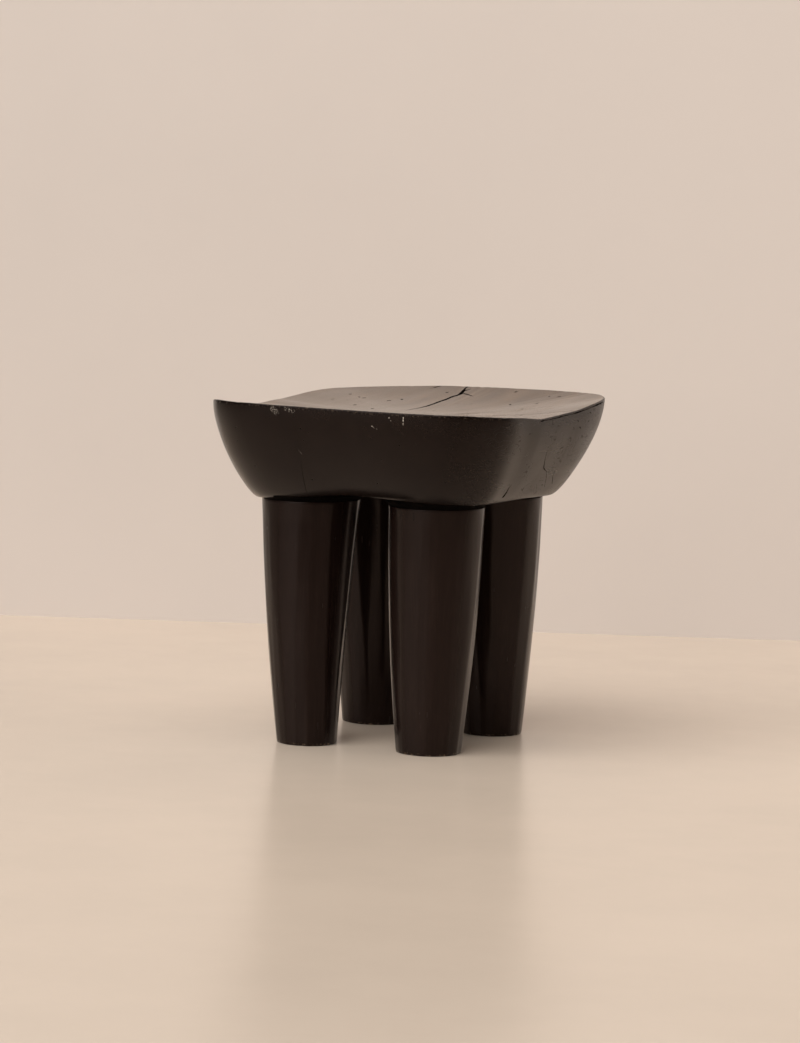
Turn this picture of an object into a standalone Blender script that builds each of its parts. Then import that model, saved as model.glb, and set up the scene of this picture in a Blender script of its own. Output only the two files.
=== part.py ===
"""A carved stool: a thick dished seat block standing on four stout tapered legs.

Each leg ends in a round tenon that goes up into a blind mortise in the seat, with its shoulder
against a low round boss under the block. A hidden wedge in the tenon's kerf meets the end of the
mortise and spreads the tenon into its flare, so that the joint locks as the leg is driven home.

X runs across the seat, Y along its grain and Z up. The origin is on the floor, under the middle.
All sizes are in metres.
"""

import math
from dataclasses import dataclass

import bmesh
import bpy
from mathutils import Vector

# Seat block
SEAT_WIDTH = 0.3636  # across the grain, at the rim
SEAT_LENGTH = 0.3910  # along the grain, at the rim
SEAT_DEPTH = 0.0971  # from the faces that meet the legs up to the lowest part of the rim
SIDE_OVERHANG = 0.0390  # of the rim past the underside, whose edge is where the flank has turned level
END_OVERHANG = 0.0600
UNDERSIDE_SHIFT = (-0.0020, -0.0035)  # of the underside off the middle of the rim, in X and Y
RIM_SQUARENESS = 4.3  # exponent of the outline: 2 is an ellipse, higher is squarer
UNDERSIDE_SQUARENESS = 4.1
ARRIS = 0.0045  # how far the front right corner stands out of that even outline
ARRIS_DEGREES = 326.5  # its direction, anticlockwise from +X
ARRIS_REACH_DEGREES = 7.0
DISH_DEPTH = 0.0067  # from the lowest part of the rim down to the middle of the dish
RIM_ROUNDING = 0.0015
RIM_LEVEL = 0.0120  # how far the two ends of the rim stand above its lowest part
RIM_SLOPE = 0.0008  # how much higher than that the rear end is, and how much lower the front end
RIM_TWIST = 0.0010  # the same for the rear right and front left corners against the other two
UNDERSIDE_RISE = {  # how far the lower edge arches above the faces that meet the legs, anticlockwise from +X
    "right": 0.0054,
    "rear_right": 0.0012,
    "rear": 0.0050,
    "rear_left": 0.0028,
    "left": 0.0010,
    "front_left": 0.0012,
    "front": 0.0105,
    "front_right": 0.0056,
}
UNDERSIDE_ARCH = 0.0080  # the same in the middle of the underside
SEAT_TILT = 0.0143  # rise of the whole seat across its width, as it stands a little crooked


@dataclass(frozen=True)
class Hollow:
    """A stretch of the rim that the carver cut lower."""

    degrees: float  # direction of its deepest point, anticlockwise from +X
    reach_degrees: float  # to either side
    depth: float


RIM_HOLLOWS = {
    "right": Hollow(degrees=357, reach_degrees=58, depth=0.0100),
    "rear_left": Hollow(degrees=138, reach_degrees=40, depth=0.0045),
    "left": Hollow(degrees=176, reach_degrees=38, depth=0.0120),
}

# Flank of the seat, as the two handles of one curve from the rim to the underside
FLANK_RIM_HANDLE = 0.36  # share of the flank's height that stays upright under the rim
FLANK_UNDERSIDE_HANDLE = 0.20  # share of the flank's inset that runs level into the underside

# Bosses under the seat
BOSS_NECK = 0.0010  # height of a boss before it flares
BOSS_FLARE = 0.0048  # how much wider than its leg it becomes
BOSS_FLARE_HEIGHT = 0.0040

# Legs
LEG_HEIGHT = 0.2685  # floor to shoulder
FOOT_ROUNDING = 0.0020
SHOULDER_ROUNDING = 0.0005


@dataclass(frozen=True)
class LegCut:
    """What differs between the four hand-cut legs."""

    setback: tuple  # from the side of the leg to the edge of the underside, in X and Y
    top_radius: float
    foot_radius: float
    entasis: float  # swelling half way up
    drift: tuple  # how far the leg wanders between its shoulder and its foot, in X and Y
    bow: tuple = (0.0, 0.0)  # how far its middle stands off a straight axis, in X and Y


LEG_CUTS = {
    "front_left": LegCut(
        setback=(0.0129, 0.0024),
        top_radius=0.0546,
        foot_radius=0.0333,
        entasis=0.0008,
        drift=(0.0137, -0.0206),
        bow=(-0.0023, -0.0011),
    ),
    "front_right": LegCut(
        setback=(0.0129, 0.0073),
        top_radius=0.0525,
        foot_radius=0.0358,
        entasis=0.0031,
        drift=(-0.0006, -0.0015),
    ),
    "rear_left": LegCut(
        setback=(0.0148, 0.0022),
        top_radius=0.0540,
        foot_radius=0.0357,
        entasis=0.0024,
        drift=(-0.0006, 0.0064),
    ),
    "rear_right": LegCut(
        setback=(0.0171, 0.0034),
        top_radius=0.0539,
        foot_radius=0.0353,
        entasis=0.0029,
        drift=(-0.0024, 0.0151),
    ),
}

# Joint between a leg and the seat
TENON_RADIUS = 0.0280
TENON_LENGTH = 0.0550
TENON_SPREAD = 0.0012  # how much the driven wedge widens the tenon's end
TENON_CHAMFER = 0.0020
WEDGE_WIDTH = 0.0480  # across the seat's grain, so that the wedge can't split the block
WEDGE_LENGTH = 0.0340
WEDGE_THICK_END = 0.0070
WEDGE_THIN_END = 0.0016
WEDGE_STAND_PROUD = 0.0025  # of the wedge above the tenon
FIT = 0.0003  # clearance between pieces that touch

# Fineness of the faceted surfaces
SEAT_SEGMENTS = 96
DISH_RINGS = 6
FLANK_RINGS = 10
ROUND_STEPS = 48
LEG_RINGS = 11
ARC_STEPS = 3
CUT_MARGIN = 0.010  # how far a cutter runs past the piece that it cuts

UNDERSIDE_WIDTH = SEAT_WIDTH - 2 * SIDE_OVERHANG
UNDERSIDE_LENGTH = SEAT_LENGTH - 2 * END_OVERHANG
SHOULDER_Z = LEG_HEIGHT
BOSS_FACE_Z = SHOULDER_Z + FIT
LOW_RIM_Z = BOSS_FACE_Z + SEAT_DEPTH
DISH_Z = LOW_RIM_Z - DISH_DEPTH
TENON_TOP_Z = SHOULDER_Z + TENON_LENGTH
WEDGE_TOP_Z = TENON_TOP_Z + WEDGE_STAND_PROUD
MORTISE_END_Z = WEDGE_TOP_Z + FIT
LEG_CORNERS = {
    "front_left": (-1, -1),
    "front_right": (1, -1),
    "rear_left": (-1, 1),
    "rear_right": (1, 1),
}


def clear_scene():
    """Remove every object that the file opened with."""
    for obj in list(bpy.data.objects):
        bpy.data.objects.remove(obj, do_unlink=True)


def collection(name):
    """Make a collection in the scene."""
    made = bpy.data.collections.new(name)
    bpy.context.scene.collection.children.link(made)
    return made


def wood(name, colour, roughness):
    """Make a plain wood material."""
    material = bpy.data.materials.new(name)
    material.use_nodes = True
    shader = material.node_tree.nodes["Principled BSDF"]
    shader.inputs["Base Color"].default_value = (*colour, 1.0)
    shader.inputs["Roughness"].default_value = roughness
    shader.inputs["Metallic"].default_value = 0.0
    return material


def object_from_bmesh(name, shape, place, material=None):
    """Turn a bmesh into a named object in a collection, with its faces pointing out."""
    bmesh.ops.recalc_face_normals(shape, faces=shape.faces)
    mesh = bpy.data.meshes.new(name)
    shape.to_mesh(mesh)
    shape.free()
    obj = bpy.data.objects.new(name, mesh)
    place.objects.link(obj)
    if material:
        mesh.materials.append(material)
    return obj


def make_cutter(obj):
    """Mark an object as a shaping tool that isn't a piece of the stool."""
    obj.hide_render = True
    obj.display_type = "WIRE"
    return obj


def boolean(obj, other, operation):
    """Join another shape to an object, or cut it away."""
    modifier = obj.modifiers.new(f"{operation.lower()} {other.name}", "BOOLEAN")
    modifier.operation = operation
    modifier.solver = "EXACT"
    modifier.object = other


def shade(obj, sharp_degrees=40):
    """Shade an object smooth, with its hard edges kept."""
    obj.data.shade_smooth()
    obj.data.set_sharp_from_angle(angle=math.radians(sharp_degrees))


def between(first, last, share):
    """A value part of the way from first to last."""
    return first + (last - first) * share


def degrees_apart(angle, degrees):
    """How far a direction lies from another that is given in degrees, in degrees."""
    return abs((math.degrees(angle) - degrees + 180) % 360 - 180)


def outline_radius(half_width, half_length, squareness, angle):
    """Distance from the middle to the outline in one direction: a rounded rectangle with an arris."""
    across = abs(math.cos(angle) / half_width) ** squareness
    along = abs(math.sin(angle) / half_length) ** squareness
    arris = ARRIS * math.exp(-((degrees_apart(angle, ARRIS_DEGREES) / ARRIS_REACH_DEGREES) ** 2))
    return (across + along) ** (-1 / squareness) + arris


def rim_rise(angle):
    """Height of the hand-cut rim above its lowest part, in one direction."""
    height = RIM_LEVEL + RIM_SLOPE * math.sin(angle) + RIM_TWIST * math.sin(2 * angle)
    for hollow in RIM_HOLLOWS.values():
        away = min(1.0, degrees_apart(angle, hollow.degrees) / hollow.reach_degrees)
        height -= hollow.depth * (1 + math.cos(math.pi * away)) / 2
    return height


def underside_rise(angle):
    """Height of the lower edge above the bosses in one direction, smooth through its named heights."""
    heights = list(UNDERSIDE_RISE.values())
    count = len(heights)
    position = (angle / math.tau % 1.0) * count
    index = int(position)
    share = position - index
    before, start, end, after = (heights[(index + step) % count] for step in (-1, 0, 1, 2))
    start_slope = (end - before) / 2
    end_slope = (after - start) / 2
    return (
        start * (2 * share**3 - 3 * share**2 + 1)
        + start_slope * (share**3 - 2 * share**2 + share)
        + end * (3 * share**2 - 2 * share**3)
        + end_slope * (share**3 - share**2)
    )


def flank_point(share):
    """Inset and drop of the flank's curve, each as a share of its whole, at a share of its way down."""
    rest = 1 - share
    inset = 3 * rest * share**2 * (1 - FLANK_UNDERSIDE_HANDLE) + share**3
    drop = 3 * rest**2 * share * FLANK_RIM_HANDLE + 3 * rest * share**2 + share**3
    return inset, drop


def dish_ring(share):
    """Points of the dished top at a share of the way from its middle to the rim."""
    points = []
    edge_width = SEAT_WIDTH / 2 - RIM_ROUNDING
    edge_length = SEAT_LENGTH / 2 - RIM_ROUNDING
    for step in range(SEAT_SEGMENTS):
        angle = math.tau * step / SEAT_SEGMENTS
        reach = share * outline_radius(edge_width, edge_length, RIM_SQUARENESS, angle)
        height = between(DISH_Z, LOW_RIM_Z + rim_rise(angle), share**2)
        points.append(Vector((reach * math.cos(angle), reach * math.sin(angle), height)))
    return points


def flank_ring(share):
    """Points of the seat's flank at a share of the way from the rim to the underside."""
    inset, drop = flank_point(share)
    half_width = between(SEAT_WIDTH, UNDERSIDE_WIDTH, inset) / 2
    half_length = between(SEAT_LENGTH, UNDERSIDE_LENGTH, inset) / 2
    squareness = between(RIM_SQUARENESS, UNDERSIDE_SQUARENESS, inset)
    points = []
    for step in range(SEAT_SEGMENTS):
        angle = math.tau * step / SEAT_SEGMENTS
        reach = outline_radius(half_width, half_length, squareness, angle)
        rim_z = LOW_RIM_Z + rim_rise(angle) - RIM_ROUNDING
        lower_z = BOSS_FACE_Z + underside_rise(angle)
        x = inset * UNDERSIDE_SHIFT[0] + reach * math.cos(angle)
        y = inset * UNDERSIDE_SHIFT[1] + reach * math.sin(angle)
        points.append(Vector((x, y, between(rim_z, lower_z, drop))))
    return points


def extrude_to(shape, edges, points):
    """Extrude a ring of edges and move the new ring onto points, in the same order."""
    made = bmesh.ops.extrude_edge_only(shape, edges=edges)["geom"]
    verts = [item for item in made if isinstance(item, bmesh.types.BMVert)]
    ring = sorted(verts, key=lambda vert: math.atan2(vert.co.y, vert.co.x) % math.tau)
    for vert, point in zip(ring, points):
        vert.co = point
    return [item for item in made if isinstance(item, bmesh.types.BMEdge)]


def seat_block():
    """The block before its joints: dish, rounded rim, flank and arched underside, ring by ring."""
    shape = bmesh.new()
    bmesh.ops.create_circle(shape, segments=SEAT_SEGMENTS, radius=1)
    edges = shape.edges[:]
    for vert, point in zip(shape.verts, dish_ring(1 / DISH_RINGS)):
        vert.co = point
    close_ring(shape, edges, DISH_Z)
    for ring in range(2, DISH_RINGS + 1):
        edges = extrude_to(shape, edges, dish_ring(ring / DISH_RINGS))
    for ring in range(FLANK_RINGS + 1):
        edges = extrude_to(shape, edges, flank_ring(ring / FLANK_RINGS))
    close_ring(shape, edges, BOSS_FACE_Z + UNDERSIDE_ARCH)
    return shape


def close_ring(shape, edges, height):
    """Close a ring of edges with a fan of faces to a point over the middle."""
    middle = shape.verts.new((0, 0, height))
    for edge in edges:
        shape.faces.new((middle, *edge.verts))


def turned_profile(points, name, place):
    """Revolve a profile of (radius, height) points, listed from the top down, about Z."""
    mesh = bpy.data.meshes.new(name)
    verts = [(radius, 0, height) for radius, height in points]
    mesh.from_pydata(verts, [(step, step + 1) for step in range(len(verts) - 1)], [])
    obj = bpy.data.objects.new(name, mesh)
    place.objects.link(obj)
    screw = obj.modifiers.new("turn", "SCREW")
    screw.axis = "Z"
    screw.steps = ROUND_STEPS
    screw.render_steps = ROUND_STEPS
    screw.use_merge_vertices = True
    screw.merge_threshold = 0.00005
    return obj


def as_mesh(obj):
    """Replace an object by a plain mesh of what its modifiers make."""
    bpy.context.view_layer.update()
    graph = bpy.context.evaluated_depsgraph_get()
    mesh = bpy.data.meshes.new_from_object(obj.evaluated_get(graph))
    mesh.name = obj.name
    obj.modifiers.clear()
    obj.data = mesh
    return obj


def set_at(obj, centre):
    """Place a piece at a leg's centre and lift it with the tilt of the seat, fading out to the floor."""
    obj.location = (*centre, 0)
    tilt(obj)


def tilt(obj):
    """Lift an object's points with the tilt of the seat."""
    for vert in obj.data.vertices:
        height_share = min(1.0, vert.co.z / SHOULDER_Z)
        vert.co.z += SEAT_TILT * height_share * (vert.co.x + obj.location.x)


def arc(centre_radius, centre_height, radius, start_degrees, end_degrees):
    """Points of an arc in a profile, from one direction to another."""
    points = []
    for step in range(ARC_STEPS + 1):
        angle = math.radians(between(start_degrees, end_degrees, step / ARC_STEPS))
        points.append((centre_radius + radius * math.cos(angle), centre_height + radius * math.sin(angle)))
    return points


def leg_radius(cut, share):
    """Radius of a leg at a share of the way from its foot to its shoulder."""
    return between(cut.foot_radius, cut.top_radius, share) + cut.entasis * 4 * share * (1 - share)


def leg_profile(cut):
    """Outline of a leg from the top of its tenon down to its foot."""
    tenon_end = TENON_RADIUS + TENON_SPREAD
    points = [
        (0, TENON_TOP_Z),
        (tenon_end - TENON_CHAMFER, TENON_TOP_Z),
        (tenon_end, TENON_TOP_Z - TENON_CHAMFER),
        (TENON_RADIUS, SHOULDER_Z),
    ]
    edge = SHOULDER_ROUNDING
    points += arc(cut.top_radius - edge, SHOULDER_Z - edge, edge, 90, 0)
    for ring in range(LEG_RINGS - 1, 0, -1):
        share = ring / LEG_RINGS
        points.append((leg_radius(cut, share), share * SHOULDER_Z))
    points += arc(cut.foot_radius - FOOT_ROUNDING, FOOT_ROUNDING, FOOT_ROUNDING, 0, -90)
    points.append((0, 0))
    return points


def kerf_cutter(corner, centre, place):
    """The opened saw kerf in a tenon: the wedge's own taper with clearance, right across the tenon."""
    tip_z = WEDGE_TOP_Z - WEDGE_LENGTH - FIT
    top_z = TENON_TOP_Z + CUT_MARGIN
    slope = (WEDGE_THICK_END - WEDGE_THIN_END) / WEDGE_LENGTH
    tip_half = WEDGE_THIN_END / 2 + FIT
    top_half = tip_half + slope * (top_z - tip_z) / 2
    half_width = TENON_RADIUS + TENON_SPREAD + CUT_MARGIN
    shape = tapered_block(half_width, tip_half, top_half, tip_z, top_z)
    obj = object_from_bmesh(f"kerf_{corner}", shape, place)
    set_at(obj, centre)
    return make_cutter(obj)


def tapered_block(half_width, bottom_half, top_half, bottom_z, top_z):
    """A block that is wide in X and tapers in Y from its top to its bottom."""
    shape = bmesh.new()
    bmesh.ops.create_cube(shape, size=2)
    for vert in shape.verts:
        at_top = vert.co.z > 0
        vert.co.x *= half_width
        vert.co.y *= top_half if at_top else bottom_half
        vert.co.z = top_z if at_top else bottom_z
    return shape


def leg(corner, centre, place, cutters, material):
    """One leg with its tenon, turned, bowed, drifted towards its foot and slotted for its wedge."""
    cut = LEG_CUTS[corner]
    obj = as_mesh(turned_profile(leg_profile(cut), f"leg_{corner}", place))
    drift, bow = Vector((*cut.drift, 0)), Vector((*cut.bow, 0))
    for vert in obj.data.vertices:
        share = min(1.0, vert.co.z / SHOULDER_Z)
        vert.co += drift * (1 - share) + bow * 4 * share * (1 - share)
    set_at(obj, centre)
    obj.data.materials.append(material)
    boolean(obj, kerf_cutter(corner, centre, cutters), "DIFFERENCE")
    shade(obj)
    return obj


def wedge(corner, centre, place, material):
    """The wedge that spreads a tenon, thick end up against the end of the mortise."""
    shape = tapered_block(
        WEDGE_WIDTH / 2,
        WEDGE_THIN_END / 2,
        WEDGE_THICK_END / 2,
        WEDGE_TOP_Z - WEDGE_LENGTH,
        WEDGE_TOP_Z,
    )
    obj = object_from_bmesh(f"wedge_{corner}", shape, place, material)
    set_at(obj, centre)
    return obj


def boss(corner, centre, cutters):
    """The round pad under the seat that a leg's shoulder meets, undercut towards the leg."""
    radius = LEG_CUTS[corner].top_radius
    neck_z = BOSS_FACE_Z + BOSS_NECK
    flare_z = neck_z + BOSS_FLARE_HEIGHT
    top_z = max(flare_z, BOSS_FACE_Z + max(UNDERSIDE_ARCH, *UNDERSIDE_RISE.values())) + CUT_MARGIN
    edge = SHOULDER_ROUNDING
    points = [(0, top_z), (radius + BOSS_FLARE, top_z), (radius + BOSS_FLARE, flare_z), (radius, neck_z)]
    points += arc(radius - edge, BOSS_FACE_Z + edge, edge, 0, -90)
    points.append((0, BOSS_FACE_Z))
    obj = as_mesh(turned_profile(points, f"boss_{corner}", cutters))
    set_at(obj, centre)
    return make_cutter(obj)


def mortise(corner, centre, cutters):
    """The blind hole for a tenon, flared towards its end as the wedge needs."""
    mouth = TENON_RADIUS + FIT
    slope = TENON_SPREAD / (TENON_LENGTH - TENON_CHAMFER)
    end = mouth + slope * (MORTISE_END_Z - SHOULDER_Z)
    below = BOSS_FACE_Z - CUT_MARGIN
    points = [(0, MORTISE_END_Z), (end, MORTISE_END_Z), (mouth, SHOULDER_Z), (mouth, below), (0, below)]
    obj = as_mesh(turned_profile(points, f"mortise_{corner}", cutters))
    set_at(obj, centre)
    return make_cutter(obj)


def seat(centres, place, cutters, material):
    """The seat block with its four bosses and mortises."""
    obj = object_from_bmesh("seat", seat_block(), place, material)
    tilt(obj)
    for corner, centre in centres.items():
        boolean(obj, boss(corner, centre, cutters), "UNION")
    for corner, centre in centres.items():
        boolean(obj, mortise(corner, centre, cutters), "DIFFERENCE")
    shade(obj)
    return obj


def leg_centre(corner):
    """Place of a leg's axis at its shoulder, set in from the edge of the underside."""
    cut = LEG_CUTS[corner]
    halves = (UNDERSIDE_WIDTH / 2, UNDERSIDE_LENGTH / 2)
    measures = zip(LEG_CORNERS[corner], halves, cut.setback, UNDERSIDE_SHIFT)
    return tuple(side * (half - cut.top_radius - setback) + shift for side, half, setback, shift in measures)


def main():
    """Build the stool."""
    clear_scene()
    pieces = collection("carved_stool")
    cutters = collection("cutters")
    dark_wood = wood("blackened hardwood", (0.020, 0.015, 0.012), 0.42)
    pale_wood = wood("bare hardwood", (0.42, 0.27, 0.15), 0.65)
    centres = {corner: leg_centre(corner) for corner in LEG_CUTS}
    seat(centres, pieces, cutters, dark_wood)
    for corner, centre in centres.items():
        leg(corner, centre, pieces, cutters, dark_wood)
        wedge(corner, centre, pieces, pale_wood)


if __name__ == "__main__":
    main()
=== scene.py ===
"""The carved stool, dressed for its photograph.

The seat block and the four legs are modelled again, finer than the solids and from the same sizes, with
the drying cracks, chipped edges and hand-cut unevenness of the real ones. They are finished in blackened
wood. The hidden wedges keep their solids, in bare wood.

X runs across the seat, Y along its grain and Z up. The origin is on the floor, under the middle of the
seat. All sizes are in metres.
"""

import logging
import math
from dataclasses import dataclass, replace
from enum import Enum
from typing import Optional, Sequence, Union

import bmesh
import bpy
from mathutils import Matrix, Vector, noise


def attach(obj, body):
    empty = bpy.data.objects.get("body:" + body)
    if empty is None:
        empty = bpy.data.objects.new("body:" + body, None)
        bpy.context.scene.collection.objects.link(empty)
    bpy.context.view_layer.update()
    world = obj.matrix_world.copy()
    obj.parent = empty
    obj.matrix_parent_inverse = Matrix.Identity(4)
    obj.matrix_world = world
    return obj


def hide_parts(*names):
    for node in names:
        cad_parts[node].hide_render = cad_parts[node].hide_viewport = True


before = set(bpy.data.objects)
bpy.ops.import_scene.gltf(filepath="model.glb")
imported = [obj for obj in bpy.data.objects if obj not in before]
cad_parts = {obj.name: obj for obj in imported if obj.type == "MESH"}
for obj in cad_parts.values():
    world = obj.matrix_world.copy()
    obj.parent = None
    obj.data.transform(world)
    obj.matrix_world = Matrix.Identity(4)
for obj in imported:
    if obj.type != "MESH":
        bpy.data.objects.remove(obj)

LOG = logging.getLogger("stool")
BODY = "root"
EDGE_ATTRIBUTE = "edge"
POLISH_ATTRIBUTE = "polish"
ROUNDING_STEPS = 5  # in each rounded edge of a profile
HARD_EDGE_DEGREES = 38  # past which an edge isn't shaded smooth
UP = (0.0, 0.0, 1.0)
Colour = tuple[float, float, float]
Point = tuple[float, float, float]


def between(first: float, last: float, share: float) -> float:
    """Give the value a share of the way from first to last."""
    return first + (last - first) * share


def fade(distance: float, reach: float) -> float:
    """Give 1 where the distance is nothing, falling evenly to 0 at the reach."""
    return max(0.0, 1.0 - distance / reach)


def degrees_apart(angle: float, degrees: float) -> float:
    """Give how far a direction lies from another that is given in degrees, in degrees."""
    return abs((math.degrees(angle) - degrees + 180) % 360 - 180)


@dataclass(frozen=True)
class Unevenness:
    """The small rise and fall that hand tools and wear leave."""

    spacing: float  # from one rise to the next, about
    height: float  # either way, at the most

    def at(self, point: Vector) -> float:
        """Give how far it rises at a point."""
        return self.height * noise.noise(point / self.spacing)


@dataclass(frozen=True)
class Chips:
    """Small chips out of an edge."""

    spacing: float  # from one to the next, about
    rarity: float  # from 0, where half of the edge is chipped, to 1, where none of it is
    depth: float

    def at(self, point: Vector) -> float:
        """Give how deep the edge is chipped at a point."""
        return self.depth * max(0.0, noise.noise(point / self.spacing) - self.rarity)


def deselect_all() -> None:
    """Leave object mode with nothing selected."""
    if bpy.context.object and bpy.context.object.mode != "OBJECT":
        bpy.ops.object.mode_set(mode="OBJECT")
    bpy.ops.object.select_all(action="DESELECT")


def activate(obj: bpy.types.Object) -> None:
    """Make an object the only one that is selected, and the active one.

    Args:
        obj: The object.
    """
    deselect_all()
    obj.select_set(True)
    bpy.context.view_layer.objects.active = obj


def remove(objects: Sequence[bpy.types.Object]) -> None:
    """Delete objects that have done their work."""
    for obj in objects:
        bpy.data.objects.remove(obj, do_unlink=True)


def cut(obj: bpy.types.Object, tools: Sequence[bpy.types.Object], operation: str) -> None:
    """Join shapes to an object or cut them out of it, and delete them.

    Args:
        obj: The piece that is shaped.
        tools: The closed shapes that shape it.
        operation: UNION to join them, DIFFERENCE to cut them out.
    """
    group = bpy.data.collections.new("tools")
    for tool in tools:
        group.objects.link(tool)
    modifier = obj.modifiers.new("shape", "BOOLEAN")
    modifier.operation = operation
    modifier.solver = "MANIFOLD"
    modifier.operand_type = "COLLECTION"
    modifier.collection = group
    activate(obj)
    bpy.ops.object.modifier_apply(modifier=modifier.name)
    remove(tools)
    bpy.data.collections.remove(group)


class Loft:
    """A closed shape drawn out ring by ring in edit mode, about the Z axis.

    Each ring lists its points anticlockwise, and none lies just below the X axis, so that the points of a
    new ring are known by the order of their angles.
    """

    def __init__(self, name: str, middle: float, ring: Sequence[Vector]) -> None:
        """Start from a filled circle.

        Args:
            name: What the object is called.
            middle: Height of the circle's middle point.
            ring: Points of the first ring.
        """
        deselect_all()
        bpy.ops.mesh.primitive_circle_add(vertices=len(ring), radius=1.0, fill_type="TRIFAN")
        self.obj = bpy.context.object
        self.obj.name = name
        self.obj.data.name = name
        bpy.ops.object.mode_set(mode="EDIT")
        shape = bmesh.from_edit_mesh(self.obj.data)
        for vert in shape.verts:
            if not vert.is_boundary:
                vert.co = (0.0, 0.0, middle)
                vert.select_set(False)
        shape.select_flush(False)
        self._place(ring)

    def _place(self, ring: Sequence[Vector]) -> None:
        """Move the selected ring onto points.

        Args:
            ring: The points, anticlockwise.
        """
        shape = bmesh.from_edit_mesh(self.obj.data)
        chosen = [vert for vert in shape.verts if vert.select]
        chosen.sort(key=lambda vert: math.atan2(vert.co.y, vert.co.x) % math.tau)
        for vert, point in zip(chosen, ring):
            vert.co = point
        bmesh.update_edit_mesh(self.obj.data)

    def extrude(self, ring: Sequence[Vector]) -> None:
        """Draw out the last ring to a new one."""
        bpy.ops.mesh.extrude_edges_move()
        self._place(ring)

    def close(self, height: float) -> bpy.types.Object:
        """Draw the last ring in to a point over the middle and finish the shape.

        Args:
            height: Height of that point.

        Returns:
            The finished object, in object mode.
        """
        bpy.ops.mesh.extrude_edges_move()
        bpy.ops.mesh.merge(type="CENTER")
        shape = bmesh.from_edit_mesh(self.obj.data)
        for vert in shape.verts:
            if vert.select:
                vert.co = (0.0, 0.0, height)
        bmesh.update_edit_mesh(self.obj.data)
        bpy.ops.mesh.select_all(action="SELECT")
        bpy.ops.mesh.normals_make_consistent(inside=False)
        bpy.ops.object.mode_set(mode="OBJECT")
        return self.obj


def ring_angles(count: int) -> list[float]:
    """Give the angles of a ring's points, half a step past the X axis."""
    return [math.tau * (step + 0.5) / count for step in range(count)]


def turned(name: str, profile: Sequence[tuple[float, float]], steps: int) -> bpy.types.Object:
    """Turn a profile about the Z axis.

    Args:
        name: What the object is called.
        profile: Radius and height of each ring; the first and last heights close the shape.
        steps: Points in each ring.

    Returns:
        The closed object.
    """
    angles = ring_angles(steps)
    rings = [[Vector((r * math.cos(a), r * math.sin(a), z)) for a in angles] for r, z in profile]
    loft = Loft(name, profile[0][1], rings[0])
    for ring in rings[1:]:
        loft.extrude(ring)
    return loft.close(profile[-1][1])


def rounded(
    radius: float, height: float, rounding: float, start: float, end: float
) -> list[tuple[float, float]]:
    """Give the points of a rounded edge in a profile.

    Args:
        radius: Radius of the arc's middle in the profile.
        height: Height of the arc's middle.
        rounding: Size of the arc.
        start: First direction in degrees, from outward to upward.
        end: Last direction in degrees.

    Returns:
        Radius and height of each point.
    """
    shares = [step / ROUNDING_STEPS for step in range(ROUNDING_STEPS + 1)]
    angles = [math.radians(between(start, end, share)) for share in shares]
    return [(radius + rounding * math.cos(a), height + rounding * math.sin(a)) for a in angles]


@dataclass(frozen=True)
class Joinery:
    """Sizes that the pieces share where they meet."""

    shoulder_z: float = 0.2685  # height of the legs' shoulders
    fit: float = 0.0003  # gap between pieces that meet
    edge_rounding: float = 0.0005
    boss_neck: float = 0.0010  # height of a boss before it flares
    boss_flare: float = 0.0048  # how much wider than its leg it becomes
    boss_flare_height: float = 0.0040
    tenon_radius: float = 0.0280
    tenon_length: float = 0.0550
    tenon_spread: float = 0.0012  # how far the wedge widens the tenon's end
    tenon_chamfer: float = 0.0020
    wedge_length: float = 0.0340
    wedge_thick_end: float = 0.0070
    wedge_thin_end: float = 0.0016
    wedge_proud: float = 0.0025  # how far it stands out of the tenon
    seat_tilt: float = 0.0143  # slope across the seat, which stands a little crooked
    margin: float = 0.0100  # by which a cutter goes past what it cuts

    @property
    def boss_z(self) -> float:
        """Height of the faces under the seat that meet the legs."""
        return self.shoulder_z + self.fit

    @property
    def tenon_z(self) -> float:
        """Height of a tenon's end."""
        return self.shoulder_z + self.tenon_length

    @property
    def mortise_z(self) -> float:
        """Height of a mortise's end."""
        return self.tenon_z + self.wedge_proud + self.fit

    def tilt(self, obj: bpy.types.Object) -> None:
        """Lift an object's points with the tilt of the seat, which fades out to the floor."""
        for vert in obj.data.vertices:
            vert.co.z += self.seat_tilt * vert.co.x * min(1.0, vert.co.z / self.shoulder_z)

    def level_height(self, point: Vector) -> float:
        """Give the height that a point of the seat had before the tilt."""
        return point.z - self.seat_tilt * point.x


JOINERY = Joinery()


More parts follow.
